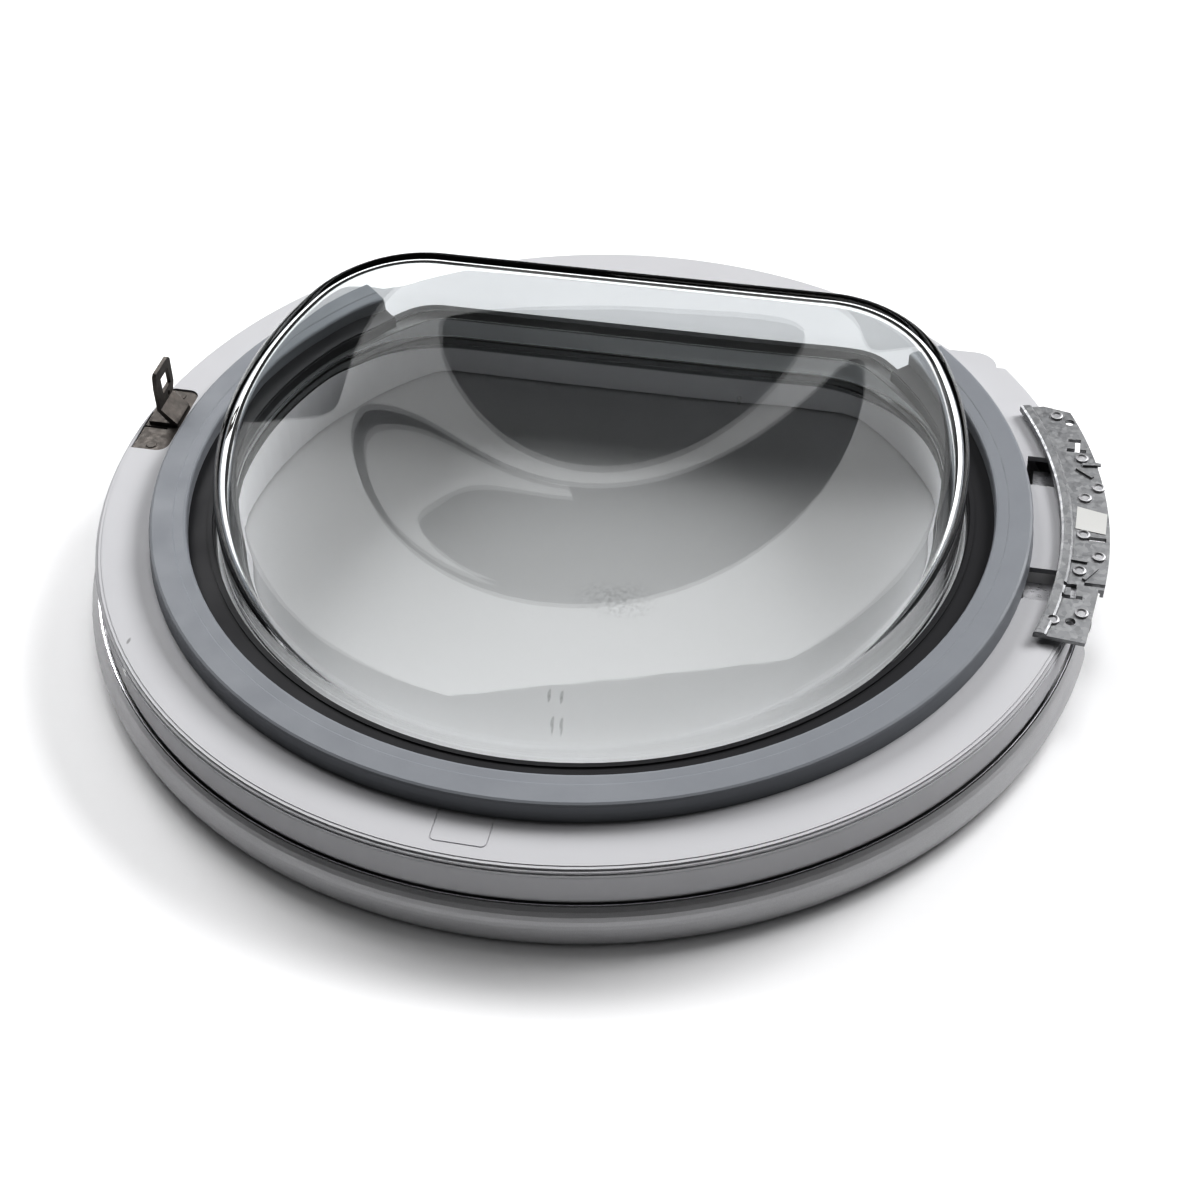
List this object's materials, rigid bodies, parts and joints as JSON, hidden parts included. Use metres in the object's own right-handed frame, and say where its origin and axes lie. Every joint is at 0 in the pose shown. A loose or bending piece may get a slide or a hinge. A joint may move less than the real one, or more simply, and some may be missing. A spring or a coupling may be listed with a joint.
{
  "type": "dryer door",
  "caption": "Round dryer door with a D-shaped clear glass bowl, gray door seal, white inner frame, metallic trim ring, bent steel latch tongue and a pivoting hinge plate.",
  "frame": {"origin": "centre of the round trim ring, on the plane of the door's front face, on which the door lies", "axes": "+Z from the front face towards the drum, +X towards the hinge, +Y towards the bowl's flat side"},
  "size_m": [0.5015, 0.499, 0.1015],
  "materials": {
    "satin_trim": "satin metallic paint",
    "bright_bead": "bright plated",
    "white_plastic": "fine matte",
    "gray_rubber": "matte",
    "clear_glass": "polished",
    "dark_plastic": "matte",
    "plated_steel": "zinc plated",
    "galvanised_steel": "galvanised",
    "dark_steel": "dark plated",
    "label_film": "matte film"
  },
  "bodies": {
    "door": {"outer_ring": "satin_trim", "chrome_bead": "bright_bead", "window_liner": "white_plastic", "inner_frame": "white_plastic", "glass_seal": "gray_rubber", "glass_bowl": "clear_glass", "clamp_ring": "dark_plastic", "clamp_screws": "plated_steel", "gasket": "gray_rubber", "trim_screws": "plated_steel", "latch_plate": "dark_steel", "latch_striker": "dark_steel", "latch_backing": "galvanised_steel", "latch_screws": "dark_steel", "hinge_pins": "plated_steel", "hinge_carrier": "galvanised_steel", "carrier_screws": "plated_steel"},
    "hinge": {"hinge_plate": "galvanised_steel", "hinge_arm_upper": "plated_steel", "hinge_arm_lower": "plated_steel", "hinge_rivets": "plated_steel", "hinge_bushes": "dark_plastic", "data_label": "label_film"}
  },
  "joints": [
    {"name": "door_hinge", "type": "hinge", "parent": "door", "child": "hinge", "pos_m": [0.225, 0, 0.019], "axis": [0, 1, 0], "range_deg": [0, 100]}
  ]
}
